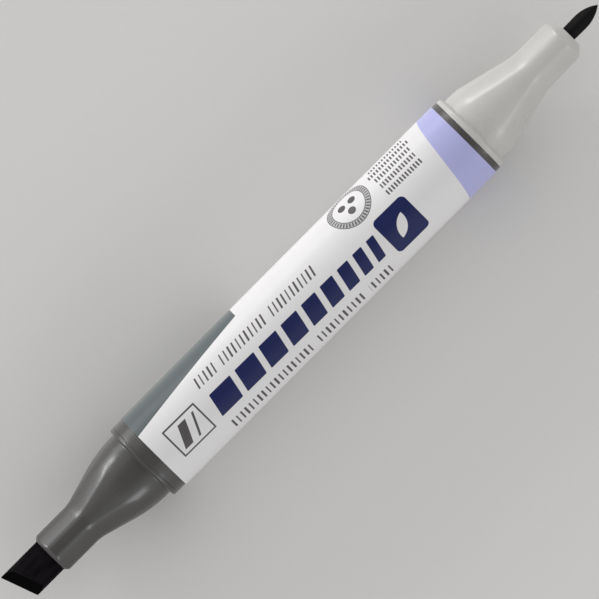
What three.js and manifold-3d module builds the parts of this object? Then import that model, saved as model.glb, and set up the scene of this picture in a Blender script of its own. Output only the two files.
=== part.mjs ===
// Twin-tip felt marker without its caps: a broad chisel nib at the -X end and a fine nib at the +X end.
// Millimetres, +Z up. The marker lies on its side on the plane z = 0, and the origin is on that plane,
// under the middle of its length.
import * as THREE from "three";
import { mergeVertices } from "three/addons/utils/BufferGeometryUtils.js";
import Module from "manifold-3d";

const wasm = await Module();
wasm.setup();

// Driving dimensions. Radii are measured to the middle of a facet.
const roundSides = 40;
const slidingGap = 0.03;

const labelRadius = 7.4;
const labelThickness = 0.12;
const barrelLength = 73.3;
const barrelRadius = labelRadius - labelThickness - slidingGap;
const barrelWall = 1;
const boreRadius = barrelRadius - barrelWall;
const labelMarginBroad = 1.9;
const labelMarginFine = 1.05;

const ribCount = 6;
const ribWidth = 0.8;
const ribInnerRadius = 6.1;

const spigotLength = 7;
const spigotRadius = boreRadius - slidingGap;
const spigotWall = 1.1;
const noseHollowLength = 11.4;

// Lengths from the barrel's end. Each nose has four flat sides at 45 degrees: flatRatio is the distance
// across the neck's flats over its diameter, and flatSlope is how fast they spread towards the base.
const broadNose = {
  length: 21.5, flangeLength: 0.75, flangeChamfer: 0.25,
  baseRadius: 6.4, baseLength: 2.2, shoulderLength: 4.4,
  neckStart: 13.8, neckRadius: 3.76, coneSlope: 0.29,
  frontLength: 0.49, frontRadius: 3.3, hollowEndRadius: 3.15,
  flatRatio: 0.905, flatSlope: 0.33,
};
const fineNose = {
  length: 22.77, flangeLength: 1.16, flangeChamfer: 0.35,
  baseRadius: 6.48, baseLength: 3.2, shoulderLength: 0.8,
  neckStart: 14.05, neckRadius: 3.88, coneSlope: 0.242,
  frontLength: 1.5, frontRadius: 2.5, hollowEndRadius: 2.6,
  flatRatio: 0.925, flatSlope: 0.285,
};
const flatRunOut = 0.5;       // the flats end this far inside the straight base, where they no longer cut it
const shoulderSteps = 3;

const broadNib = {
  reach: 8.17, width: 6.2, thickness: 3, cornerRadius: 0.9, cornerSteps: 4, slant: 0.357, bevelLength: 1.7,
  edgeThickness: 1.1,
};
const fineNib = {
  reach: 6.61, radius: 1.3, bellyRadius: 1.34, bellyAt: 2.6, tailRadius: 1, tipRadius: 0.12, tipSteps: 6,
  collarLength: 11,
};
const nibDepth = 5.5;         // how far each nib's tail sits inside the reservoir
const socketClearance = 0.1;
const pilotHoleRadius = 0.75; // round hole of the broad nose before the slot is cut through it
const slotOverlap = 1;        // how far the slot's cut starts inside the nose's hollow

const filmRadius = 5.95;
const filmThickness = 0.15;
const reservoirEndGap = 0.35;

// Places along the axis, measured from the middle of the barrel
const barrelEnd = barrelLength / 2;
const spigotEnd = barrelEnd - spigotLength;
const reservoirEnd = spigotEnd - reservoirEndGap;
const nibTail = reservoirEnd - nibDepth;
const broadTip = barrelEnd + broadNose.length + broadNib.reach;
const fineTip = barrelEnd + fineNose.length + fineNib.reach;

// A closed outline of [x, radius] pairs turned about the X axis. Faces point outwards when the outline
// runs towards +X on its outer side. With 4 sides the corners point along Y and Z.
function turned(outline, sides = roundSides, firstCorner = Math.PI / sides) {
  const toCorner = 1 / Math.cos(Math.PI / sides);
  const points = outline.map(([x, radius]) => new THREE.Vector2(radius * toCorner, x));
  return solidFrom(new THREE.LatheGeometry(points, sides, firstCorner).rotateZ(-Math.PI / 2));
}

// Joins shared corners, drops the triangles that collapse on the axis, and makes a solid
function solidFrom(geometry) {
  geometry.deleteAttribute("normal");
  geometry.deleteAttribute("uv");
  const merged = mergeVertices(geometry);
  const corners = merged.index.array;
  const triangles = [];
  for (let i = 0; i < corners.length; i += 3) {
    const [a, b, c] = corners.slice(i, i + 3);
    if (a !== b && b !== c && c !== a) triangles.push(a, b, c);
  }
  return new wasm.Manifold(new wasm.Mesh({
    numProp: 3, vertProperties: merged.attributes.position.array, triVerts: Uint32Array.from(triangles),
  }));
}

function meshFrom(name, solid, material) {
  const { vertProperties, triVerts } = solid.getMesh();
  const geometry = new THREE.BufferGeometry();
  geometry.setAttribute("position", new THREE.BufferAttribute(vertProperties, 3));
  geometry.setIndex(new THREE.BufferAttribute(triVerts, 1));
  geometry.computeVertexNormals();
  const mesh = new THREE.Mesh(geometry, material);
  mesh.name = name;
  return mesh;
}

// Turns a solid that faces +X round to face -X
function towardsMinusX(solid) {
  return solid.rotate([0, 0, 180]);
}

function barrel() {
  const tube = turned([
    [-barrelEnd, boreRadius], [-barrelEnd, barrelRadius], [barrelEnd, barrelRadius], [barrelEnd, boreRadius],
    [-barrelEnd, boreRadius],
  ]);
  const ribHeight = boreRadius + barrelWall / 2 - ribInnerRadius;
  const ribs = Array.from({ length: ribCount }, (_, i) => {
    const rib = new THREE.BoxGeometry(2 * reservoirEnd, ribWidth, ribHeight);
    rib.translate(0, 0, ribInnerRadius + ribHeight / 2);
    return solidFrom(rib.rotateX((i * 2 * Math.PI) / ribCount));
  });
  return ribs.reduce((solid, rib) => solid.add(rib), tube);
}

function labelSleeve() {
  const start = -barrelEnd + labelMarginBroad;
  const end = barrelEnd - labelMarginFine;
  const inner = labelRadius - labelThickness;
  return turned([[start, inner], [start, labelRadius], [end, labelRadius], [end, inner], [start, inner]]);
}

// Outer outline of a nose from its flange to its front, as distances from the barrel's end
function noseOutline(nose) {
  const coneRadius = (x) => nose.neckRadius + nose.coneSlope * (nose.neckStart - x);
  const coneStart = nose.baseLength + nose.shoulderLength;
  const shoulder = new THREE.QuadraticBezierCurve(
    new THREE.Vector2(nose.baseLength, nose.baseRadius),
    new THREE.Vector2(nose.baseLength + nose.shoulderLength / 2, nose.baseRadius),
    new THREE.Vector2(coneStart, coneRadius(coneStart)),
  );
  return [
    [0, barrelRadius],
    [nose.flangeLength - nose.flangeChamfer, barrelRadius],
    [nose.flangeLength, barrelRadius - nose.flangeChamfer],
    [nose.flangeLength, nose.baseRadius],
    ...shoulder.getPoints(shoulderSteps).map((point) => [point.x, point.y]),
    [nose.neckStart, nose.neckRadius],
    [nose.length - nose.frontLength, nose.neckRadius],
    [nose.length, nose.frontRadius],
  ];
}

// Square blank with its corners towards Y and Z. What the round nose keeps of it are its four flat sides.
function noseBlank(nose) {
  const flatRadius = (x) => nose.flatRatio * nose.neckRadius + nose.flatSlope * (nose.neckStart - x);
  const flatStart = nose.baseLength - flatRunOut;
  return turned([
    [-spigotLength, 0], [-spigotLength, labelRadius], [flatStart, labelRadius],
    [flatStart, flatRadius(flatStart)],
    [nose.neckStart, flatRadius(nose.neckStart)],
    [nose.length, flatRadius(nose.neckStart)],
    [nose.length, 0],
  ], 4, 0);
}

// A nose facing +X: outside, front hole of holeRadius, hollow behind it, and the spigot inside the barrel
function noseShell(nose, holeRadius) {
  const hollowRadius = spigotRadius - spigotWall;
  const round = turned([
    [-spigotLength, hollowRadius], [-spigotLength, spigotRadius], [0, spigotRadius],
    ...noseOutline(nose),
    [nose.length, holeRadius],
    [noseHollowLength, holeRadius], [noseHollowLength, nose.hollowEndRadius],
    [nose.baseLength, hollowRadius],
    [-spigotLength, hollowRadius],
  ]);
  return round.intersect(noseBlank(nose)).translate([barrelEnd, 0, 0]);
}

// Rounded rectangle of the broad nib, made larger by growth all round, and run from x = start to x = end
function nibBar(start, end, growth) {
  const halfWidth = broadNib.width / 2 + growth;
  const halfThickness = broadNib.thickness / 2 + growth;
  const corner = broadNib.cornerRadius + growth;
  const section = new THREE.Shape();
  section.absarc(halfWidth - corner, halfThickness - corner, corner, 0, Math.PI / 2);
  section.absarc(corner - halfWidth, halfThickness - corner, corner, Math.PI / 2, Math.PI);
  section.absarc(corner - halfWidth, corner - halfThickness, corner, Math.PI, 1.5 * Math.PI);
  section.absarc(halfWidth - corner, corner - halfThickness, corner, 1.5 * Math.PI, 2 * Math.PI);
  const bar = new THREE.ExtrudeGeometry(section, {
    depth: end - start, curveSegments: broadNib.cornerSteps, bevelEnabled: false,
  });
  return solidFrom(bar.rotateX(Math.PI / 2).rotateZ(Math.PI / 2).translate(start, 0, 0));
}

function broadNoseShell() {
  const slot = nibBar(barrelEnd + noseHollowLength - slotOverlap, broadTip, slidingGap);
  return towardsMinusX(noseShell(broadNose, pilotHoleRadius).subtract(slot));
}

// Bar of felt whose end is cut slantwise and bevelled on both faces, so that the cut is a blunt edge
function broadNibFelt() {
  const halfThickness = broadNib.thickness / 2;
  const halfEdge = broadNib.edgeThickness / 2;
  const slantAngle = Math.atan(broadNib.slant);
  const edge = (broadTip - (broadNib.slant * broadNib.width) / 2) * Math.cos(slantAngle);
  const bevelStart = edge - broadNib.bevelLength;
  const lowerHalf = [
    [0, -broadNib.thickness], [bevelStart, -broadNib.thickness],
    [bevelStart, -halfThickness], [edge, -halfEdge],
  ];
  const upperHalf = lowerHalf.map(([x, y]) => [x, -y]).reverse();
  const side = new THREE.Shape([...lowerHalf, ...upperHalf].map(([x, y]) => new THREE.Vector2(x, y)));
  const reach = 2 * broadTip;
  const wedge = new THREE.ExtrudeGeometry(side, { depth: reach, bevelEnabled: false });
  wedge.translate(0, 0, -reach / 2).rotateX(Math.PI / 2).rotateZ(slantAngle);
  return towardsMinusX(nibBar(nibTail, broadTip, 0).intersect(solidFrom(wedge)));
}

// Round nib: tail in the reservoir, thicker collar in the nose, slight belly, then a curve to the tip
function fineNibFelt() {
  const front = barrelEnd + fineNose.length;
  const belly = front + fineNib.bellyAt;
  const tip = new THREE.QuadraticBezierCurve(
    new THREE.Vector2(belly, fineNib.bellyRadius),
    new THREE.Vector2(belly + (fineTip - belly) / 2, fineNib.bellyRadius),
    new THREE.Vector2(fineTip, fineNib.tipRadius),
  );
  return turned([
    [nibTail, 0], [nibTail, fineNib.tailRadius],
    [front - fineNib.collarLength, fineNib.tailRadius], [front - fineNib.collarLength, fineNib.radius],
    [front, fineNib.radius],
    ...tip.getPoints(fineNib.tipSteps).map((point) => [point.x, point.y]),
    [fineTip, 0],
  ]);
}

function reservoirCore() {
  const radius = filmRadius - filmThickness - slidingGap;
  const socketRadius = fineNib.tailRadius + socketClearance;
  const socketEnd = nibTail - reservoirEndGap;
  const rod = turned([
    [-reservoirEnd, 0], [-reservoirEnd, radius], [reservoirEnd, radius],
    [reservoirEnd, socketRadius], [socketEnd, socketRadius], [socketEnd, 0],
  ]);
  return rod.subtract(towardsMinusX(nibBar(socketEnd, broadTip, socketClearance)));
}

function reservoirFilm() {
  const inner = filmRadius - filmThickness;
  return turned([
    [-reservoirEnd, inner], [-reservoirEnd, filmRadius], [reservoirEnd, filmRadius], [reservoirEnd, inner],
    [-reservoirEnd, inner],
  ]);
}

const darkPlastic = new THREE.MeshStandardMaterial({ color: 0x4d4a48, roughness: 0.45, metalness: 0 });
const milkyPlastic = new THREE.MeshStandardMaterial({ color: 0xc9c8c4, roughness: 0.45, metalness: 0 });
const labelFilm = new THREE.MeshStandardMaterial({ color: 0xeeeef0, roughness: 0.35, metalness: 0 });
const blackFelt = new THREE.MeshStandardMaterial({ color: 0x161416, roughness: 0.9, metalness: 0 });
const inkedFibre = new THREE.MeshStandardMaterial({ color: 0x3a3c42, roughness: 0.95, metalness: 0 });
const clearWrap = new THREE.MeshStandardMaterial({ color: 0xd8dade, roughness: 0.3, metalness: 0 });

const marker = new THREE.Group();
marker.add(
  meshFrom("barrel", barrel(), darkPlastic),
  meshFrom("label_sleeve", labelSleeve(), labelFilm),
  meshFrom("broad_nose", broadNoseShell(), darkPlastic),
  meshFrom("fine_nose", noseShell(fineNose, fineNib.radius + slidingGap), milkyPlastic),
  meshFrom("broad_nib", broadNibFelt(), blackFelt),
  meshFrom("fine_nib", fineNibFelt(), blackFelt),
  meshFrom("reservoir_core", reservoirCore(), inkedFibre),
  meshFrom("reservoir_film", reservoirFilm(), clearWrap),
);
marker.position.set((broadTip - fineTip) / 2, 0, labelRadius);

export default marker;
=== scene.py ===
import math

import bpy
import numpy as np
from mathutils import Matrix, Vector


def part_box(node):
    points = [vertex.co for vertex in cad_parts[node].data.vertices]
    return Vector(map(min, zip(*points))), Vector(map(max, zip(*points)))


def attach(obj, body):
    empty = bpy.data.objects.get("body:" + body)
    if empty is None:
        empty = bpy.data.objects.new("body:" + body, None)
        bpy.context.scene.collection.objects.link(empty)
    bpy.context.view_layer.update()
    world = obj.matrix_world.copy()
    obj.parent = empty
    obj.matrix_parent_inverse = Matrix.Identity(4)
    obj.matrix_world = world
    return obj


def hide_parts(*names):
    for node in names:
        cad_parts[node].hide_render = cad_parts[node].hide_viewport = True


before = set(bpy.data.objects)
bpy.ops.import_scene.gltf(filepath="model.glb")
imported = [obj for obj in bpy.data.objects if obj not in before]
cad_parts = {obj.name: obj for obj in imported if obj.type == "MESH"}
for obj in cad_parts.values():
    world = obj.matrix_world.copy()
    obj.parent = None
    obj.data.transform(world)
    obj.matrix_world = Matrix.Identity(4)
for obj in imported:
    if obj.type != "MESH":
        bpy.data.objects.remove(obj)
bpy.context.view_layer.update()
scene = bpy.context.scene
mm = 0.001


# Lowest and highest corner of a CAD node, in millimetres
def boxInMm(node):
    low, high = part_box(node)
    return np.array(low) / mm, np.array(high) / mm


barrelLow, barrelHigh = boxInMm("barrel")
middleX = (barrelLow[0] + barrelHigh[0]) / 2
halfBarrel = (barrelHigh[0] - barrelLow[0]) / 2
axisHeight = (barrelLow[2] + barrelHigh[2]) / 2
slidingGap = 0.03
barrelWall = 1.0
spigotWall = 1.1
barrelRadius = (barrelHigh[2] - barrelLow[2]) / 2
boreRadius = barrelRadius - barrelWall
spigotRadius = boreRadius - slidingGap
spigotInner = spigotRadius - spigotWall


# A point at distance r from the axis and angle a lies at y = -r sin a and z = axisHeight + r cos a, so the
# angle grows from the top of the marker towards -Y
def ringPoints(x, radius, angle):
    x, radius, angle = np.broadcast_arrays(x, radius, angle)
    return np.stack([x, -radius * np.sin(angle), axisHeight + radius * np.cos(angle)], axis=-1)


def ringAngles(columns):
    return np.linspace(-np.pi, np.pi, columns, endpoint=False)[None, :]


# Quads between neighbouring rows of points, closed round each row. A hollow piece joins its last row to its
# first; a solid one is closed at each end by a point in the middle of the end row. Rows run towards +X on the
# outer side.
def ringMesh(name, rings, hollow):
    rows, columns = rings.shape[:2]
    index = np.arange(rows * columns).reshape(rows, columns)
    first = index if hollow else index[:-1]
    second = np.roll(index, -1, axis=0) if hollow else index[1:]
    firstNext, secondNext = np.roll(first, -1, axis=1), np.roll(second, -1, axis=1)
    faces = np.stack([first, firstNext, secondNext, second], axis=-1).reshape(-1, 4).tolist()
    points = rings.reshape(-1, 3)
    if not hollow:
        points = np.vstack([points, rings[0].mean(axis=0), rings[-1].mean(axis=0)])
        startPole = np.full(columns, rows * columns)
        faces += np.stack([startPole, np.roll(index[0], -1), index[0]], axis=-1).tolist()
        faces += np.stack([startPole + 1, index[-1], np.roll(index[-1], -1)], axis=-1).tolist()
    mesh = bpy.data.meshes.new(name)
    mesh.from_pydata((points * mm).tolist(), [], faces)
    mesh.validate()
    mesh.shade_smooth()
    return mesh


def addPiece(name, mesh, body, node, material, sharpAngle=40):
    mesh.set_sharp_from_angle(angle=math.radians(sharpAngle))
    mesh.materials.append(material)
    piece = bpy.data.objects.new(name, mesh)
    scene.collection.objects.link(piece)
    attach(piece, body)
    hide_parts(node)
    return piece


# The sides of an outline, each scaled to a length of 1
def unitLength(side):
    return side / np.maximum(np.linalg.norm(side, axis=1, keepdims=True), 1e-9)


# Outline of (x, radius, fillet) corners. Each fillet is a quadratic curve between the two points that lie
# that far from the corner along its sides, or nearer where a side is short. No step along the outline is
# longer than longest.
def filleted(corners, closed, longest, curveSteps=5):
    corners = np.array(corners, float)
    place, fillet = corners[:, :2], corners[:, 2]
    backward, forward = np.roll(place, 1, axis=0) - place, np.roll(place, -1, axis=0) - place
    shorter = np.minimum(np.linalg.norm(backward, axis=1), np.linalg.norm(forward, axis=1))
    reach = np.minimum(fillet, 0.45 * shorter)
    if not closed:
        reach[[0, -1]] = 0
    enter = place + unitLength(backward) * reach[:, None]
    leave = place + unitLength(forward) * reach[:, None]
    k = np.linspace(0, 1, curveSteps)[None, :, None]
    curve = (1 - k) ** 2 * enter[:, None] + 2 * k * (1 - k) * place[:, None] + k ** 2 * leave[:, None]
    line = curve.reshape(-1, 2)
    if closed:
        line = np.vstack([line, line[:1]])
    length = np.concatenate([[0], np.cumsum(np.linalg.norm(np.diff(line, axis=0), axis=1))])
    kept = np.concatenate([[True], np.diff(length) > 1e-5])
    line, length = line[kept], length[kept]
    stops = [np.linspace(a, b, max(1, math.ceil((b - a) / longest)), endpoint=False)
             for a, b in zip(length[:-1], length[1:])]
    if not closed:
        stops.append(length[-1:])
    at = np.concatenate(stops)
    return np.interp(at, length, line[:, 0]), np.interp(at, length, line[:, 1])


# 0 below 0, 1 above 1, and 3v^2 - 2v^3 between
def smoothStep(value):
    value = np.clip(value, 0, 1)
    return value * value * (3 - 2 * value)


# The smaller of a and b, rounded over width where they cross
def softMin(a, b, width):
    share = np.clip(0.5 + 0.5 * (b - a) / width, 0, 1)
    return b * (1 - share) + a * share - width * share * (1 - share)


# The larger of value and 0, with the bend rounded over width
def softRamp(value, width):
    return 0.5 * (value + np.sqrt(value * value + width * width))


# Distance from the axis to a rounded rectangle, 2 * halfWide along Y and 2 * halfThick along Z
def roundedBar(angle, halfWide, halfThick, corner):
    wide, thick = np.abs(np.sin(angle)), np.abs(np.cos(angle))
    flat = np.minimum(halfWide / np.maximum(wide, 1e-6), halfThick / np.maximum(thick, 1e-6))
    along = wide * (halfWide - corner) + thick * (halfThick - corner)
    off = (halfWide - corner) ** 2 + (halfThick - corner) ** 2 - along ** 2
    arc = along + np.sqrt(np.maximum(corner ** 2 - off, 0))
    inCorner = (arc * wide > halfWide - corner) & (arc * thick > halfThick - corner) & (off < corner ** 2)
    return np.where(inCorner, arc, flat)


def newMaterial(name, **constants):
    material = bpy.data.materials.new(name)
    material.use_nodes = True
    shader = material.node_tree.nodes["Principled BSDF"]
    for socket, value in constants.items():
        shader.inputs[socket.replace("_", " ")].default_value = value
    return material, material.node_tree, shader


def setSocket(tree, socket, value):
    if isinstance(value, bpy.types.NodeSocket):
        tree.links.new(value, socket)
    else:
        socket.default_value = value


def addNode(tree, kind, values=None, **settings):
    node = tree.nodes.new(kind)
    for key, value in settings.items():
        setattr(node, key, value)
    for socket, value in (values or {}).items():
        setSocket(tree, node.inputs[socket], value)
    return node


def mathNode(tree, operation, a, b=0.0, c=0.0):
    return addNode(tree, "ShaderNodeMath", {0: a, 1: b, 2: c}, operation=operation).outputs[0]


def vectorNode(tree, operation, a, b=(0, 0, 0)):
    return addNode(tree, "ShaderNodeVectorMath", {0: a, 1: b}, operation=operation)


def splitNode(tree, place):
    return addNode(tree, "ShaderNodeSeparateXYZ", {0: place}).outputs


def noiseNode(tree, place, size, detail):
    return addNode(tree, "ShaderNodeTexNoise", {"Vector": place, "Scale": size, "Detail": detail}).outputs[0]


def mixColours(tree, factor, a, b):
    values = {0: factor}
    values[6] = a if isinstance(a, bpy.types.NodeSocket) else (*a, 1)
    values[7] = b if isinstance(b, bpy.types.NodeSocket) else (*b, 1)
    return addNode(tree, "ShaderNodeMix", values, data_type="RGBA").outputs[2]


def rangeNode(tree, value, fromLow, fromHigh, toLow, toHigh):
    values = {0: value, 1: fromLow, 2: fromHigh, 3: toLow, 4: toHigh}
    return addNode(tree, "ShaderNodeMapRange", values).outputs[0]


def newGroup(name, inputs, outputs):
    group = bpy.data.node_groups.new(name, "ShaderNodeTree")
    for label, (kind, value) in inputs.items():
        socket = group.interface.new_socket(label, in_out="INPUT", socket_type=kind)
        if value is not None:
            socket.default_value = value
    for label, kind in outputs.items():
        group.interface.new_socket(label, in_out="OUTPUT", socket_type=kind)
    return group, group.nodes.new("NodeGroupInput").outputs, group.nodes.new("NodeGroupOutput").inputs


def useGroup(tree, group, **values):
    node = addNode(tree, "ShaderNodeGroup", node_tree=group)
    for label, value in values.items():
        setSocket(tree, node.inputs[label.replace("_", " ")], value)
    return node.outputs


def objectPlace(tree):
    return tree.nodes.new("ShaderNodeTexCoord").outputs["Object"]


def bumpNormal(tree, shader, height, strength, distance):
    bump = addNode(tree, "ShaderNodeBump", {"Height": height, "Strength": strength, "Distance": distance})
    tree.links.new(bump.outputs[0], shader.inputs["Normal"])


number, vector = "NodeSocketFloat", "NodeSocketVector"


# Grain and handling of a smooth plastic: a fine even grain, wide soft smudges, and fine scuffs that run round
# the piece
def mouldedGroup():
    group, given, result = newGroup(
        "mouldedSurface",
        {"Place": (vector, None), "Grain Size": (number, 6000.0), "Smudge Size": (number, 160.0)},
        {"Height": number, "Smudge": number, "Scuff": number},
    )
    place = given["Place"]
    group.links.new(noiseNode(group, place, given["Grain Size"], 2.0), result["Height"])
    smudge = noiseNode(group, place, given["Smudge Size"], 3.0)
    group.links.new(rangeNode(group, smudge, 0.35, 0.65, 0.0, 1.0), result["Smudge"])
    stretched = vectorNode(group, "MULTIPLY", place, (2600.0, 140.0, 140.0)).outputs[0]
    scuff = noiseNode(group, stretched, 1.0, 1.0)
    group.links.new(rangeNode(group, scuff, 0.66, 0.74, 0.0, 1.0), result["Scuff"])
    return group


# Fibres that run along the marker: single fibres, and wider bundles that give the tone
def fibreGroup():
    group, given, result = newGroup(
        "fibreBundle",
        {"Place": (vector, None), "Fibre Size": (number, 5200.0), "Stretch": (number, 0.12)},
        {"Height": number, "Tone": number},
    )
    squeeze = addNode(group, "ShaderNodeCombineXYZ", {0: given["Stretch"], 1: 1.0, 2: 1.0}).outputs[0]
    place = vectorNode(group, "MULTIPLY", given["Place"], squeeze).outputs[0]
    fibre = noiseNode(group, place, given["Fibre Size"], 3.0)
    bundle = noiseNode(group, place, mathNode(group, "MULTIPLY", given["Fibre Size"], 0.22), 2.0)
    wide = mathNode(group, "MULTIPLY", bundle, 0.4)
    group.links.new(mathNode(group, "MULTIPLY_ADD", fibre, 0.6, wide), result["Height"])
    group.links.new(rangeNode(group, bundle, 0.35, 0.65, 0.0, 1.0), result["Tone"])
    return group


mouldedSurface = mouldedGroup()
fibreBundle = fibreGroup()

# Depths of the relief, in metres
grainDepth = 0.00002
fibreDepth = 0.00006

darkPlastic = {
    "dark": (0.037, 0.0345, 0.033), "light": (0.042, 0.0395, 0.038), "roughness": (0.24, 0.27),
    "scuff": 0.02, "grain": 0.25, "specular": 0.8, "subsurface": 0.0,
}
milkyPlastic = {
    "dark": (0.478, 0.468, 0.447), "light": (0.495, 0.485, 0.465), "roughness": (0.27, 0.3),
    "scuff": 0.02, "grain": 0.2, "specular": 0.7, "subsurface": 0.12,
}
clearWrap = {
    "dark": (0.30, 0.31, 0.34), "light": (0.42, 0.43, 0.46), "roughness": (0.12, 0.22), "scuff": 0.1,
    "grain": 0.05, "specular": 0.6, "subsurface": 0.0,
}


# Satin moulded plastic: smudges change its tone and its gloss a little, and scuffs its gloss
def plasticMaterial(name, look):
    material, tree, shader = newMaterial(
        name, Specular_IOR_Level=look["specular"], Subsurface_Weight=look["subsurface"],
        Subsurface_Scale=0.002, Subsurface_Radius=(1.0, 0.9, 0.8),
    )
    surface = useGroup(tree, mouldedSurface, Place=objectPlace(tree))
    colour = mixColours(tree, surface["Smudge"], look["dark"], look["light"])
    tree.links.new(colour, shader.inputs["Base Color"])
    gloss = rangeNode(tree, surface["Smudge"], 0.0, 1.0, *look["roughness"])
    scuffed = mathNode(tree, "MULTIPLY_ADD", surface["Scuff"], look["scuff"], gloss)
    tree.links.new(scuffed, shader.inputs["Roughness"])
    bumpNormal(tree, shader, surface["Height"], look["grain"], grainDepth)
    return material


# The chisel's darkest colour is painted shade, laid over the bevel's two faces
chiselFelt = {
    "dark": (0.0032, 0.0026, 0.0033), "light": (0.0078, 0.0064, 0.0080), "bevelShade": (0.0005, 0.0004, 0.0005),
    "fibreSize": 4200.0, "stretch": 0.25, "roughness": (0.6, 0.9), "relief": 0.8, "specular": 0.05,
    "sheen": 0.0,
}
fineFibre = {
    "dark": (0.0045, 0.0041, 0.0041), "light": (0.0095, 0.0088, 0.0088), "fibreSize": 6500.0,
    "stretch": 0.08, "roughness": (0.45, 0.7), "relief": 0.5, "specular": 0.08, "sheen": 0.0,
}
inkedFibre = {
    "dark": (0.012, 0.012, 0.016), "light": (0.05, 0.05, 0.062), "fibreSize": 3600.0, "stretch": 0.06,
    "roughness": (0.6, 0.9), "relief": 0.9, "specular": 0.3, "sheen": 0.05,
}


# Fibre soaked in ink. Where a shade mask is given, the fibre is painted darker there: painted shade.
def feltMaterial(name, look, shadeMask=None):
    material, tree, shader = newMaterial(
        name, Specular_IOR_Level=look["specular"], Sheen_Weight=look["sheen"], Sheen_Roughness=0.4,
    )
    place = objectPlace(tree)
    fibres = useGroup(tree, fibreBundle, Place=place, Fibre_Size=look["fibreSize"], Stretch=look["stretch"])
    colour = mixColours(tree, fibres["Tone"], look["dark"], look["light"])
    if shadeMask:
        colour = mixColours(tree, shadeMask(tree, place), colour, look["bevelShade"])
    tree.links.new(colour, shader.inputs["Base Color"])
    low, high = look["roughness"]
    tree.links.new(rangeNode(tree, fibres["Height"], 0.3, 0.7, high, low), shader.inputs["Roughness"])
    bumpNormal(tree, shader, fibres["Height"], look["relief"], fibreDepth)
    return material


barrelShape = {
    "radius": barrelRadius, "bore": boreRadius, "edge": 0.14, "boreEdge": 0.1, "ribs": 6, "ribRadius": 6.1,
    "ribWidth": 0.8, "ribbedHalf": 29.3, "columns": 240,
}


# Tube with low ribs along its bore that hold the reservoir off the wall
def barrelPiece(shape):
    end, radius, bore = halfBarrel, shape["radius"], shape["bore"]
    edge, boreEdge = shape["edge"], shape["boreEdge"]
    corners = [(-end, bore, boreEdge), (-end, radius, edge), (end, radius, edge), (end, bore, boreEdge)]
    x, r = filleted(corners, closed=True, longest=0.8)
    angle = ringAngles(shape["columns"])
    turnsOffRib = (angle * shape["ribs"] / np.pi + 1) % 2 - 1        # 0 in the middle of a rib
    offRib = np.abs(turnsOffRib) * np.pi / shape["ribs"] * bore
    ribHeight = bore - shape["ribRadius"]
    rib = ribHeight * smoothStep((shape["ribWidth"] - offRib) / (0.5 * shape["ribWidth"]))
    onRib = (np.abs(x) < shape["ribbedHalf"]) & (r < bore + 0.01)
    rings = ringPoints(middleX + x[:, None], r[:, None] - onRib[:, None] * rib, angle)
    mesh = ringMesh("barrelShell", rings, hollow=True)
    material = plasticMaterial("barrelPlastic", darkPlastic)
    return addPiece("barrelShell", mesh, "barrel", "barrel", material)


barrelPiece(barrelShape)
print("barrel made")

labelLow, labelHigh = boxInMm("label_sleeve")
labelShape = {
    "radius": (labelHigh[2] - labelLow[2]) / 2, "thickness": 0.12, "lap": 0.05, "lapAngle": 0.35,
    "columns": 360,
}

# The print, in millimetres on the unrolled label: x from the middle of the barrel, then the distance round
# the label from its top line, growing towards -Y
labelPrint = {
    "tilt": 0.013, "specular": 0.3, "roughness": (0.2, 0.26), "scuff": 0.02, "grain": 0.12, "smudged": 0.985,
    "softEdge": 0.03,
    "whiteInk": (0.715, 0.705, 0.708), "navyInk": (0.008, 0.013, 0.080), "greyInk": (0.085, 0.08, 0.084),
    "lavenderInk": (0.405, 0.41, 0.68), "swatchInk": (0.095, 0.113, 0.117),
    "scale": {"from": -22.5, "to": 14.1, "middle": 2.3, "halfHeight": 2.08, "slant": 0.2, "strokes": 9,
              "widest": 4.6, "narrowest": 1.6, "corner": 0.18},
    "badge": {"middle": (18.95, 2.49), "halfSize": (3.42, 3.7), "corner": 0.95, "leafReach": 3.05,
              "leafOffset": (1.75, 1.25)},
    "frame": {"middle": (-28.2, 2.1), "halfSize": (3.5, 2.85), "line": 0.3, "slant": 0.45,
              "strokes": [{"at": -0.9, "halfWide": 0.85}, {"at": 1.5, "halfWide": 0.22}],
              "halfHeight": 1.9, "corner": 0.05},
    "seal": {"middle": (14.98, -6.55), "radius": 3.6, "halfBand": 0.48, "line": 0.14, "ticks": 44,
             "tickShare": 0.11, "tickReach": 0.7, "bandTone": 0.42, "dots": 3, "dotReach": 1.25,
             "dotRadius": 0.72},
    "topLine": {"at": -2.5, "halfHeight": 0.98, "slant": 0.22, "pitch": 0.92, "stroke": 0.3, "swell": 0.12,
                "words": [(-22.3, -18.2), (-17.1, -7.0), (-5.9, 4.0)]},
    "lowLine": {"at": 7.35, "halfHeight": 1.1, "slant": 0.0, "pitch": 0.95, "stroke": 0.34, "swell": 0.12,
                "words": [(-22.5, -5.0), (-3.7, 7.0), (8.2, 13.6)]},
    "smallRows": {"middle": 24.62, "halfLengths": (3.7, 4.6, 3.8, 3.7, 3.8), "first": -9.4, "step": 1.6,
                  "halfHeight": 0.48, "slant": 0.0, "pitch": 0.6, "stroke": 0.3, "swell": 0.0},
    "band": {"middle": 30.85, "lean": -0.127, "bow": 0.0006},
    "swatch": {"from": -34.75, "start": -3.55, "lean": -0.141, "end": -10.1, "back": -17.5},
}


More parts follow.
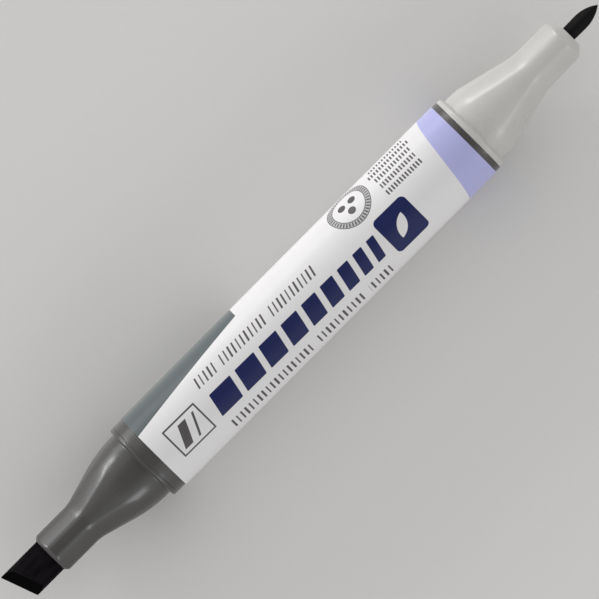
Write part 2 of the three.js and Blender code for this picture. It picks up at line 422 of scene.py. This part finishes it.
# Signed distance to a leaning rounded block, negative inside
def inkBlockGroup():
    group, given, result = newGroup(
        "inkBlock",
        {"Place": (vector, None), "Middle": (vector, None), "Half Size": (vector, None),
         "Slant": (number, 0.0), "Corner": (number, 0.0)},
        {"Distance": number},
    )
    away = splitNode(group, vectorNode(group, "SUBTRACT", given["Place"], given["Middle"]).outputs[0])
    half = splitNode(group, given["Half Size"])
    upright = mathNode(group, "MULTIPLY_ADD", away[1], given["Slant"], away[0])
    over = []
    for side, halfSide in ((upright, half[0]), (away[1], half[1])):
        straight = mathNode(group, "SUBTRACT", halfSide, given["Corner"])
        over.append(mathNode(group, "SUBTRACT", mathNode(group, "ABSOLUTE", side), straight))
    outX, outY = mathNode(group, "MAXIMUM", over[0], 0.0), mathNode(group, "MAXIMUM", over[1], 0.0)
    squares = mathNode(group, "MULTIPLY_ADD", outX, outX, mathNode(group, "MULTIPLY", outY, outY))
    deep = mathNode(group, "MINIMUM", mathNode(group, "MAXIMUM", over[0], over[1]), 0.0)
    total = mathNode(group, "ADD", mathNode(group, "SQRT", squares), deep)
    group.links.new(mathNode(group, "SUBTRACT", total, given["Corner"]), result["Distance"])
    return group


# Signed distance to a row of thin leaning strokes inside a block. Swell is how much their widths rise and
# fall along the row.
def strokeRowGroup(block):
    group, given, result = newGroup(
        "strokeRow",
        {"Place": (vector, None), "Middle": (vector, None), "Half Size": (vector, None),
         "Slant": (number, 0.0), "Pitch": (number, 1.0), "Stroke": (number, 0.3), "Swell": (number, 0.0)},
        {"Distance": number},
    )
    inBlock = useGroup(group, block, Place=given["Place"], Middle=given["Middle"],
                       Half_Size=given["Half Size"], Slant=given["Slant"])
    away = splitNode(group, vectorNode(group, "SUBTRACT", given["Place"], given["Middle"]).outputs[0])
    upright = mathNode(group, "MULTIPLY_ADD", away[1], given["Slant"], away[0])
    wave = mathNode(group, "PINGPONG", upright, mathNode(group, "MULTIPLY", given["Pitch"], 0.5))
    swellRate = 1.9
    swell = mathNode(group, "SINE", mathNode(group, "MULTIPLY", upright, swellRate))
    share = mathNode(group, "MULTIPLY_ADD", swell, given["Swell"], 0.5)
    stroke = mathNode(group, "SUBTRACT", wave, mathNode(group, "MULTIPLY", given["Stroke"], share))
    group.links.new(mathNode(group, "MAXIMUM", inBlock[0], stroke), result["Distance"])
    return group


inkBlock = inkBlockGroup()
strokeRow = strokeRowGroup(inkBlock)


def nearest(tree, distances):
    result = distances[0]
    for distance in distances[1:]:
        result = mathNode(tree, "MINIMUM", result, distance)
    return result


def blockNode(tree, place, middle, halfSize, slant=0.0, corner=0.0):
    return useGroup(tree, inkBlock, Place=place, Middle=(*middle, 0), Half_Size=(*halfSize, 0),
                    Slant=slant, Corner=corner)[0]


def strokesNode(tree, place, middle, halfLength, line):
    halfSize = (halfLength, line["halfHeight"], 0)
    return useGroup(tree, strokeRow, Place=place, Middle=(*middle, 0), Half_Size=halfSize,
                    Slant=line["slant"], Pitch=line["pitch"], Stroke=line["stroke"], Swell=line["swell"])[0]


def reachFrom(tree, place, middle):
    away = vectorNode(tree, "SUBTRACT", place, (*middle, 0)).outputs[0]
    return vectorNode(tree, "LENGTH", away).outputs[1]


# Navy: nine blocks that get narrower towards the fine end, and a rounded badge with a leaf in it
def navyDistance(tree, place, look):
    scale, badge = look["scale"], look["badge"]
    widths = np.linspace(scale["widest"], scale["narrowest"], scale["strokes"])
    gap = (scale["to"] - scale["from"] - widths.sum()) / (scale["strokes"] - 1)
    middles = scale["from"] + np.cumsum(widths + gap) - gap - widths / 2
    parts = []
    for middle, width in zip(middles.tolist(), widths.tolist()):
        centre, halfSize = (middle, scale["middle"]), (width / 2, scale["halfHeight"])
        parts.append(blockNode(tree, place, centre, halfSize, scale["slant"], scale["corner"]))
    square = blockNode(tree, place, badge["middle"], badge["halfSize"], 0.0, badge["corner"])
    leafSides = []
    for side in (-1, 1):
        middle = [centre + side * offset for centre, offset in zip(badge["middle"], badge["leafOffset"])]
        leafSides.append(mathNode(tree, "SUBTRACT", badge["leafReach"], reachFrom(tree, place, middle)))
    offLeaf = mathNode(tree, "MINIMUM", *leafSides)
    parts.append(mathNode(tree, "MAXIMUM", square, offLeaf))
    return nearest(tree, parts)


# How far a point is from the middle line of the seal's band
def offBandNode(tree, place, seal):
    reach = reachFrom(tree, place, seal["middle"])
    return mathNode(tree, "ABSOLUTE", mathNode(tree, "SUBTRACT", reach, seal["radius"]))


# Grey: a ring with two rims and ticks between them, round three dots, as a list of distances
def sealParts(tree, place, seal):
    offBand = offBandNode(tree, place, seal)
    offRim = mathNode(tree, "ABSOLUTE", mathNode(tree, "SUBTRACT", offBand, seal["halfBand"]))
    parts = [mathNode(tree, "SUBTRACT", offRim, seal["line"] / 2)]
    away = splitNode(tree, vectorNode(tree, "SUBTRACT", place, (*seal["middle"], 0)).outputs[0])
    turn = mathNode(tree, "ARCTAN2", away[1], away[0])
    steps = mathNode(tree, "MULTIPLY", turn, seal["ticks"] / (2 * math.pi))
    tick = mathNode(tree, "MULTIPLY_ADD", mathNode(tree, "PINGPONG", steps, 0.5), 0.5, -seal["tickShare"])
    tickEnd = mathNode(tree, "SUBTRACT", offBand, seal["halfBand"] * seal["tickReach"])
    parts.append(mathNode(tree, "MAXIMUM", tick, tickEnd))
    for step in range(seal["dots"]):
        around = 2 * math.pi * step / seal["dots"] + math.pi / 2
        dot = (seal["middle"][0] + seal["dotReach"] * math.cos(around),
               seal["middle"][1] + seal["dotReach"] * math.sin(around))
        parts.append(mathNode(tree, "SUBTRACT", reachFrom(tree, place, dot), seal["dotRadius"]))
    return parts


# Grey: a frame round a broad and a fine stroke, the seal, and rows of fine strokes
def greyDistance(tree, place, look):
    box, small = look["frame"], look["smallRows"]
    outline = blockNode(tree, place, box["middle"], box["halfSize"])
    hollow = mathNode(tree, "SUBTRACT", -box["line"], outline)
    parts = [mathNode(tree, "MAXIMUM", outline, hollow)]
    for stroke in box["strokes"]:
        middle = (box["middle"][0] + stroke["at"], box["middle"][1])
        halfSize = (stroke["halfWide"], box["halfHeight"])
        parts.append(blockNode(tree, place, middle, halfSize, box["slant"], box["corner"]))
    for line in (look["topLine"], look["lowLine"]):
        for start, end in line["words"]:
            parts.append(strokesNode(tree, place, ((start + end) / 2, line["at"]), (end - start) / 2, line))
    for row, halfLength in enumerate(small["halfLengths"]):
        middle = (small["middle"], small["first"] + row * small["step"])
        parts.append(strokesNode(tree, place, middle, halfLength, small))
    return nearest(tree, parts + sealParts(tree, place, look["seal"]))


# Lavender: everything beyond a slightly bowed edge near the fine end
def bandDistance(tree, flat, band):
    bow = mathNode(tree, "MULTIPLY_ADD", flat[1], band["bow"], band["lean"])
    edge = mathNode(tree, "MULTIPLY_ADD", flat[1], bow, band["middle"])
    return mathNode(tree, "SUBTRACT", edge, flat[0])


# Swatch of the ink's colour: a wedge on the +Y side that starts at the broad end
def swatchDistance(tree, flat, swatch):
    foot = swatch["start"] - swatch["lean"] * swatch["from"]
    sloping = mathNode(tree, "MULTIPLY_ADD", flat[0], swatch["lean"], foot)
    front = mathNode(tree, "SUBTRACT", flat[1], sloping)
    end = mathNode(tree, "SUBTRACT", flat[0], swatch["end"])
    back = mathNode(tree, "SUBTRACT", swatch["back"], flat[1])
    return mathNode(tree, "MAXIMUM", mathNode(tree, "MAXIMUM", front, end), back)


# 1 where the signed distance says ink, 0 on bare film
def inked(tree, distance, softness):
    return rangeNode(tree, distance, -softness, softness, 1.0, 0.0)


def labelMaterial(look):
    material, tree, shader = newMaterial("printedLabel", Specular_IOR_Level=look["specular"])
    place = addNode(tree, "ShaderNodeUVMap", uv_map="labelPlace").outputs[0]
    flat = splitNode(tree, place)
    level = mathNode(tree, "MULTIPLY_ADD", flat[0], -look["tilt"], flat[1])
    square = addNode(tree, "ShaderNodeCombineXYZ", {0: flat[0], 1: level}).outputs[0]
    film = useGroup(tree, mouldedSurface, Place=objectPlace(tree), Grain_Size=3000.0, Smudge_Size=220.0)
    smudged = tuple(look["smudged"] * part for part in look["whiteInk"])
    colour = mixColours(tree, film["Smudge"], look["whiteInk"], smudged)
    seal, softEdge = look["seal"], look["softEdge"]
    offBand = mathNode(tree, "SUBTRACT", offBandNode(tree, square, seal), seal["halfBand"])
    onBand = inked(tree, offBand, softEdge)
    colour = mixColours(tree, mathNode(tree, "MULTIPLY", onBand, seal["bandTone"]), colour, look["greyInk"])
    for distance, ink in (
        (swatchDistance(tree, flat, look["swatch"]), "swatchInk"),
        (bandDistance(tree, flat, look["band"]), "lavenderInk"),
        (greyDistance(tree, square, look), "greyInk"),
        (navyDistance(tree, square, look), "navyInk"),
    ):
        colour = mixColours(tree, inked(tree, distance, softEdge), colour, look[ink])
    tree.links.new(colour, shader.inputs["Base Color"])
    gloss = rangeNode(tree, film["Smudge"], 0.0, 1.0, *look["roughness"])
    scuffed = mathNode(tree, "MULTIPLY_ADD", film["Scuff"], look["scuff"], gloss)
    tree.links.new(scuffed, shader.inputs["Roughness"])
    bumpNormal(tree, shader, film["Height"], look["grain"], grainDepth)
    return material


# Film wrapped once round the barrel. Its outer end lies on its inner one along the underside: the outside
# steps down there by the height of the lap and comes back over the lap's angle.
def labelPiece(shape, look):
    start, end, radius = labelLow[0] - middleX, labelHigh[0] - middleX, shape["radius"]
    inner, columns = radius - shape["thickness"], shape["columns"]
    corners = [(start, inner, 0.0), (start, radius, 0.04), (end, radius, 0.04), (end, inner, 0.0)]
    x, r = filleted(corners, closed=True, longest=2.5)
    angle = ringAngles(columns)
    onLap = smoothStep((angle + np.pi) / shape["lapAngle"])
    outside = (r > inner + 0.01)[:, None]
    radii = r[:, None] - outside * shape["lap"] * (1 - onLap)
    mesh = ringMesh("labelFilm", ringPoints(middleX + x[:, None], radii, angle), hollow=True)
    corner = np.zeros(len(mesh.loops), np.int32)
    mesh.loops.foreach_get("vertex_index", corner)
    column = (corner % columns).reshape(-1, 4)
    wraps = (column.max(axis=1) - column.min(axis=1) > columns / 2)[:, None]
    column = np.where(wraps & (column == 0), columns, column).reshape(-1)
    around = radius * (2 * np.pi * column / columns - np.pi)
    along = np.repeat(x, columns)[corner]
    mesh.uv_layers.new(name="labelPlace").data.foreach_set("uv", np.stack([along, around], axis=1).ravel())
    return addPiece("labelFilm", mesh, "barrel", "label_sleeve", labelMaterial(look))


labelPiece(labelShape, labelPrint)
print("label made")

spigotEnd = -7.0
flangeBack = -0.02

# Outside: (distance from the barrel's end, radius, fillet) from the spigot to the front; inside: from the
# front hole back to the spigot. Four flat sides at 45 degrees: flatRatio is the distance across the neck's
# flats over its diameter, and flatSlope is how fast they spread from neckStart towards the base.
broadNoseShape = {
    "body": "broad_nose", "slot": "broad_nose_plastic", "towards": -1,
    "outside": [(spigotEnd, spigotRadius, 0.3), (flangeBack, spigotRadius, 0.1),
                (flangeBack, barrelRadius, 0.14), (0.75, barrelRadius - 0.02, 0.35), (0.75, 6.4, 0.2),
                (2.8, 6.4, 1.0), (6.2, 5.95, 1.6), (13.8, 3.76, 1.0), (20.95, 3.76, 0.3),
                (21.49, 3.25, 0.25)],
    "inside": [(11.4, 3.2, 0.2), (2.2, spigotInner, 0.5), (spigotEnd, spigotInner, 0.1)],
    "flatRatio": 0.905, "neckStart": 13.8, "flatSlope": 0.33, "flatsFrom": 1.5,
    "edgeRounding": (0.16, 0.44), "bendRounding": 0.6, "columns": 288,
}
fineNoseShape = {
    "body": "fine_nose", "slot": "fine_nose_plastic", "towards": 1,
    "outside": [(spigotEnd, spigotRadius, 0.3), (flangeBack, spigotRadius, 0.1),
                (flangeBack, barrelRadius, 0.14), (0.72, barrelRadius, 0.08), (1.1, barrelRadius - 0.6, 0.1),
                (1.16, 6.48, 0.1), (3.55, 6.48, 1.0), (14.05, 3.88, 1.2), (21.27, 3.86, 0.3),
                (22.76, 2.5, 0.3)],
    "inside": [(11.4, 2.6, 0.2), (3.2, spigotInner, 0.5), (spigotEnd, spigotInner, 0.1)],
    "flatRatio": 0.925, "neckStart": 14.05, "flatSlope": 0.285, "flatsFrom": 2.2,
    "edgeRounding": (0.16, 0.44), "bendRounding": 0.6, "columns": 288,
}


# Round outline cut by four sloping flats: the smaller of the outline's radius and the flat's distance, with
# the edge between them rounded less towards the base
def noseRadius(shape, distance, radius, angle):
    pastBend = shape["neckStart"] + 2
    neckRadius = radius[np.argmin(np.abs(distance - pastBend))]
    spread = shape["flatSlope"] * softRamp(shape["neckStart"] - distance, shape["bendRounding"])
    flat = shape["flatRatio"] * neckRadius + spread
    offFlat = (angle + 2 * np.pi) % (np.pi / 2) - np.pi / 4
    rounding = np.interp(distance, (shape["flatsFrom"], shape["neckStart"]), shape["edgeRounding"])
    cut = softMin(radius[:, None], flat[:, None] / np.cos(offFlat), rounding[:, None])
    onFlats = smoothStep((distance - shape["flatsFrom"]) / 1.5)[:, None]
    return radius[:, None] * (1 - onFlats) + cut * onFlats


def nosePiece(name, shape, hole, material):
    angle = ringAngles(shape["columns"])
    distance, radius = filleted(shape["outside"], closed=False, longest=0.3)
    outer = noseRadius(shape, distance, radius, angle)
    front, holeEnd = distance[-1], shape["inside"][0][0]
    backDistance, backRadius = filleted([(front, 1.0, 0)] + shape["inside"], closed=False, longest=1.0)
    behind = backDistance <= holeEnd
    leadIn = 0.12
    holeRows = hole + np.array([leadIn, 0.0, 0.0])[:, None]
    hollow = np.maximum(backRadius[behind][:, None], hole)
    allDistance = np.concatenate([distance, [front, front - leadIn, holeEnd], backDistance[behind]])
    x = middleX + shape["towards"] * (halfBarrel + allDistance)
    rings = ringPoints(x[:, None], np.vstack([outer, holeRows, hollow]), angle)
    mesh = ringMesh(name, rings[::shape["towards"]], hollow=True)
    return addPiece(name, mesh, shape["body"], shape["body"], material)


chiselShape = {
    "halfWide": 3.1, "halfThick": 1.5, "corner": 0.9, "slant": 0.357, "bevel": 1.8, "halfEdge": 0.52,
    "tipRounding": 0.16, "columns": 288,
}
fineNibShape = {
    "radius": 1.3, "belly": 1.34, "bellyAt": 2.6, "tail": 1.0, "collar": 11.0, "front": 22.77,
    "fullness": 2.1, "bluntness": 0.9, "columns": 96,
}


# Section of the chisel nib, or of a slot that leaves clearance round it
def chiselSection(angle, clearance):
    return roundedBar(angle, chiselShape["halfWide"] + clearance, chiselShape["halfThick"] + clearance,
                      chiselShape["corner"] + clearance)


slotRing = chiselSection(ringAngles(broadNoseShape["columns"]), slidingGap)
boreRing = np.full((1, fineNoseShape["columns"]), fineNibShape["radius"] + slidingGap)
nosePiece("broadNoseShell", broadNoseShape, slotRing, plasticMaterial("broadNosePlastic", darkPlastic))
nosePiece("fineNoseShell", fineNoseShape, boreRing, plasticMaterial("fineNosePlastic", milkyPlastic))
print("noses made")


# Place along X of the cut's middle
def chiselTip():
    return boxInMm("broad_nib")[0][0] + chiselShape["slant"] * chiselShape["halfWide"]


# Rise of the bevel's two faces from the middle plane, per millimetre back from the cut
bevelRise = (chiselShape["halfThick"] - chiselShape["halfEdge"]) / chiselShape["bevel"]


# Painted shade: 1 on the two faces of the bevel, which the felt paints darker, 0 on the bar behind them
def chiselBevelShade(tree, place):
    flat = splitNode(tree, place)
    straight = mathNode(tree, "MULTIPLY_ADD", flat[1], chiselShape["slant"], flat[0])
    fromCut = mathNode(tree, "SUBTRACT", straight, chiselTip() * mm)
    faceHeight = mathNode(tree, "MULTIPLY_ADD", fromCut, bevelRise, chiselShape["halfEdge"] * mm)
    height = mathNode(tree, "ABSOLUTE", mathNode(tree, "SUBTRACT", flat[2], axisHeight * mm))
    over = mathNode(tree, "SUBTRACT", height, faceHeight)
    return rangeNode(tree, over, -0.1 * mm, -0.03 * mm, 0.0, 1.0)


# A bar of rounded rectangular section whose points lean along X in proportion to their y, so that its end is
# cut slantwise. Near the cut the height is held under the bevel's faces, and the first rows round off the
# edge.
def chiselPiece(shape):
    length = boxInMm("broad_nib")[1][0] - chiselTip()
    rounding, step = shape["tipRounding"], 0.06
    turn = np.linspace(0, np.pi / 2, 6)
    nearCut = np.arange(rounding + step, shape["bevel"] + 0.5, step)
    back = np.linspace(shape["bevel"] + 2.5, length - 0.3, 60)
    tail = [length - step, length, length]
    place = np.concatenate([rounding * (1 - np.sin(turn)), nearCut, back, tail])[:, None]
    inset = np.zeros_like(place)
    inset[:len(turn), 0] = rounding * (1 - np.cos(turn[::-1] - np.pi / 2))
    shrink = np.ones_like(place)
    shrink[-3:, 0] = (0.96, 0.88, 0.4)
    lean = np.where(place < shape["bevel"] + 1, 1, 0)
    angle = ringAngles(shape["columns"])
    radius = chiselSection(angle, 0) * shrink
    halfWide = shape["halfWide"] - inset
    y = np.clip(-radius * np.sin(angle), -halfWide, halfWide)
    under = shape["halfEdge"] + bevelRise * place - inset
    z = np.clip(radius * np.cos(angle), -under, under)
    x = chiselTip() + place - lean * shape["slant"] * y
    mesh = ringMesh("chiselNib", np.stack(np.broadcast_arrays(x, y, axisHeight + z), axis=-1), hollow=False)
    # The mask paints shade on the bevel's two faces
    material = feltMaterial("chiselFelt", chiselFelt, chiselBevelShade)
    return addPiece("chiselNib", mesh, "broad_nib", "broad_nib", material, sharpAngle=30)


# Turned nib: thin tail, collar in the nose, belly, then a curve whose radius falls with a power of the
# distance from the belly
def fineNibPiece(shape):
    low, high = boxInMm("fine_nib")
    front = middleX + halfBarrel + shape["front"]
    collar, belly = front - shape["collar"], front + shape["bellyAt"]
    corners = [(low[0], 0.3, 0), (low[0], shape["tail"], 0.2), (collar, shape["tail"], 0.1),
               (collar, shape["radius"], 0.15), (front, shape["radius"], 0), (belly, shape["belly"], 0)]
    x, r = filleted(corners, closed=False, longest=0.5)
    share = np.linspace(0, 1, 40)[1:]
    curve = shape["belly"] * (1 - share ** shape["fullness"]) ** shape["bluntness"]
    x = np.concatenate([x, belly + (high[0] - belly) * share])
    r = np.concatenate([r, np.maximum(curve, 0.02)])
    mesh = ringMesh("fineNib", ringPoints(x[:, None], r[:, None], ringAngles(shape["columns"])), hollow=False)
    material = feltMaterial("fineNibFibre", fineFibre)
    return addPiece("fineNib", mesh, "fine_nib", "fine_nib", material)


chiselPiece(chiselShape)
fineNibPiece(fineNibShape)
print("nibs made")

reservoirShape = {
    "radius": 5.76, "film": 5.95, "filmThickness": 0.15, "socket": 1.1, "clearance": 0.1, "depth": 5.85,
    "edge": 0.15, "mouth": 0.2, "columns": 144,
}


# Rod with a slot in one end and a round hole in the other: the surface runs out of the slot, over the end
# face, along the rod, over the other face and into the hole
def reservoirPiece(shape):
    low, high = boxInMm("reservoir_core")
    angle = ringAngles(shape["columns"])
    slot, whole = chiselSection(angle, shape["clearance"]), np.ones_like(angle)
    radius, edge, socket, depth = shape["radius"], shape["edge"], shape["socket"], shape["depth"]
    mouth = shape["mouth"]
    rows = [(low[0] + depth, slot * 0.5), (low[0] + depth, slot), (low[0] + mouth, slot),
            (low[0], slot + edge), (low[0], slot * 0.4 + radius * 0.6), (low[0], whole * (radius - edge))]
    rows += [(x, whole * radius) for x in np.linspace(low[0] + edge, high[0] - edge, 40)]
    rows += [(high[0], whole * share) for share in (radius - edge, 3.5, socket + edge)]
    rows += [(high[0] - mouth, whole * socket), (high[0] - depth, whole * socket),
             (high[0] - depth, whole * 0.4)]
    x = np.array([row[0] for row in rows])[:, None]
    rings = ringPoints(x, np.vstack([row[1] for row in rows]), angle)
    mesh = ringMesh("reservoirRod", rings, hollow=False)
    material = feltMaterial("reservoirFibre", inkedFibre)
    return addPiece("reservoirRod", mesh, "barrel", "reservoir_core", material)


# Thin wrap round the rod
def wrapPiece(shape):
    low, high = boxInMm("reservoir_film")
    outer, inner = shape["film"], shape["film"] - shape["filmThickness"]
    corners = [(low[0], inner, 0.0), (low[0], outer, 0.05), (high[0], outer, 0.05), (high[0], inner, 0.0)]
    x, r = filleted(corners, closed=True, longest=3.0)
    rings = ringPoints(x[:, None], r[:, None], ringAngles(shape["columns"]))
    mesh = ringMesh("reservoirWrap", rings, hollow=True)
    material = plasticMaterial("reservoirWrap", clearWrap)
    return addPiece("reservoirWrap", mesh, "barrel", "reservoir_film", material)


reservoirPiece(reservoirShape)
wrapPiece(reservoirShape)
print("reservoir made")

# turn is the camera's turn against the marker in degrees, and viewWidth, lens and offCentre are in
# millimetres. The dome's strength goes from domeLow to domeHigh between two heights of a direction's z.
studio = {
    "turn": 45.16, "viewWidth": 95.84, "lens": 1000.0, "offCentre": (-1.148, -0.324),
    "floorTone": (0.68, 0.67, 0.66), "domeHigh": 0.4, "domeLow": 0.84, "domeSide": 0.08,
    "domeFrom": 0.7, "domeTo": 0.95,
}

# Each lamp: its middle, the point it faces, its size along the marker and across that, and its brightness
lamps = {
    "side": {"middle": (0, 135, 45), "faces": (0, 98.7, 138.2), "size": (150, 204), "brightness": 1.4},
    "table": {"middle": (0, 42, 0.6), "faces": (0, 42, 100), "size": (170, 64), "brightness": 0.35},
    "broadCorner": {"middle": (-219, 517, 150), "faces": (0, 0, 10), "size": (176, 100), "brightness": 10.0},
    "fineCorner": {"middle": (219, 517, 150), "faces": (0, 0, 10), "size": (176, 100), "brightness": 10.0},
    "broadFill": {"middle": (-219, -517, 255), "faces": (0, 0, 10), "size": (176, 176), "brightness": 3.0},
    "fineFill": {"middle": (219, -517, 255), "faces": (0, 0, 10), "size": (176, 176), "brightness": 3.0},
}


# Flat pale sheet, in metres
def floorPiece(look):
    half = 8.0
    mesh = bpy.data.meshes.new("floor")
    corners = [(-half, -half, 0), (half, -half, 0), (half, half, 0), (-half, half, 0)]
    mesh.from_pydata(corners, [], [(0, 1, 2, 3)])
    floor = bpy.data.objects.new("floor", mesh)
    scene.collection.objects.link(floor)
    material, tree, shader = newMaterial("floorPaper", Roughness=0.9, Specular_IOR_Level=0.2)
    mottle = noiseNode(tree, objectPlace(tree), 900.0, 3.0)
    darker = tuple(0.98 * part for part in look["floorTone"])
    tree.links.new(mixColours(tree, mottle, darker, look["floorTone"]), shader.inputs["Base Color"])
    mesh.materials.append(material)


# White dome, brighter on the +Y side and dimmer straight above where the camera is
def lightDome(look):
    world = bpy.data.worlds.new("studio")
    world.use_nodes = True
    tree = world.node_tree
    direction = tree.nodes.new("ShaderNodeTexCoord").outputs["Generated"]
    towards = splitNode(tree, direction)
    low = mathNode(tree, "MULTIPLY_ADD", towards[1], look["domeSide"], look["domeLow"])
    values = {0: towards[2], 1: look["domeFrom"], 2: look["domeTo"], 3: low, 4: look["domeHigh"]}
    strength = addNode(tree, "ShaderNodeMapRange", values, interpolation_type="SMOOTHSTEP").outputs[0]
    background = tree.nodes["Background"]
    background.inputs["Color"].default_value = (1, 1, 1, 1)
    tree.links.new(strength, background.inputs["Strength"])
    scene.world = world


def addLamp(name, look):
    light = bpy.data.lights.new(name, "AREA")
    light.shape = "RECTANGLE"
    light.size, light.size_y = (side * mm for side in look["size"])
    light.energy = look["brightness"] * math.pi * light.size * light.size_y
    lamp = bpy.data.objects.new(name, light)
    lamp.location = Vector(look["middle"]) * mm
    away = Vector(look["middle"]) - Vector(look["faces"])
    lamp.rotation_euler = away.to_track_quat("Z", "Y").to_euler()
    lamp.visible_camera = False
    scene.collection.objects.link(lamp)


# Camera straight above, with the marker's axis turned in its picture
def addCamera(look):
    turn = math.radians(look["turn"])
    right, up = Vector((math.cos(turn), -math.sin(turn), 0)), Vector((math.sin(turn), math.cos(turn), 0))
    data = bpy.data.cameras.new("camera")
    data.lens, data.sensor_width, data.clip_end = look["lens"], 36, 40
    camera = bpy.data.objects.new("camera", data)
    across, above = look["offCentre"]
    target = Vector((middleX, 0, axisHeight)) + right * across + up * above
    distance = look["viewWidth"] * look["lens"] / data.sensor_width
    camera.location = (target + Vector((0, 0, distance))) * mm
    camera.rotation_euler = (0, 0, -turn)
    scene.collection.objects.link(camera)
    scene.camera = camera


floorPiece(studio)
lightDome(studio)
for lampName, lampLook in lamps.items():
    addLamp(lampName, lampLook)
addCamera(studio)
scene.view_settings.view_transform = "Standard"
print("studio made")
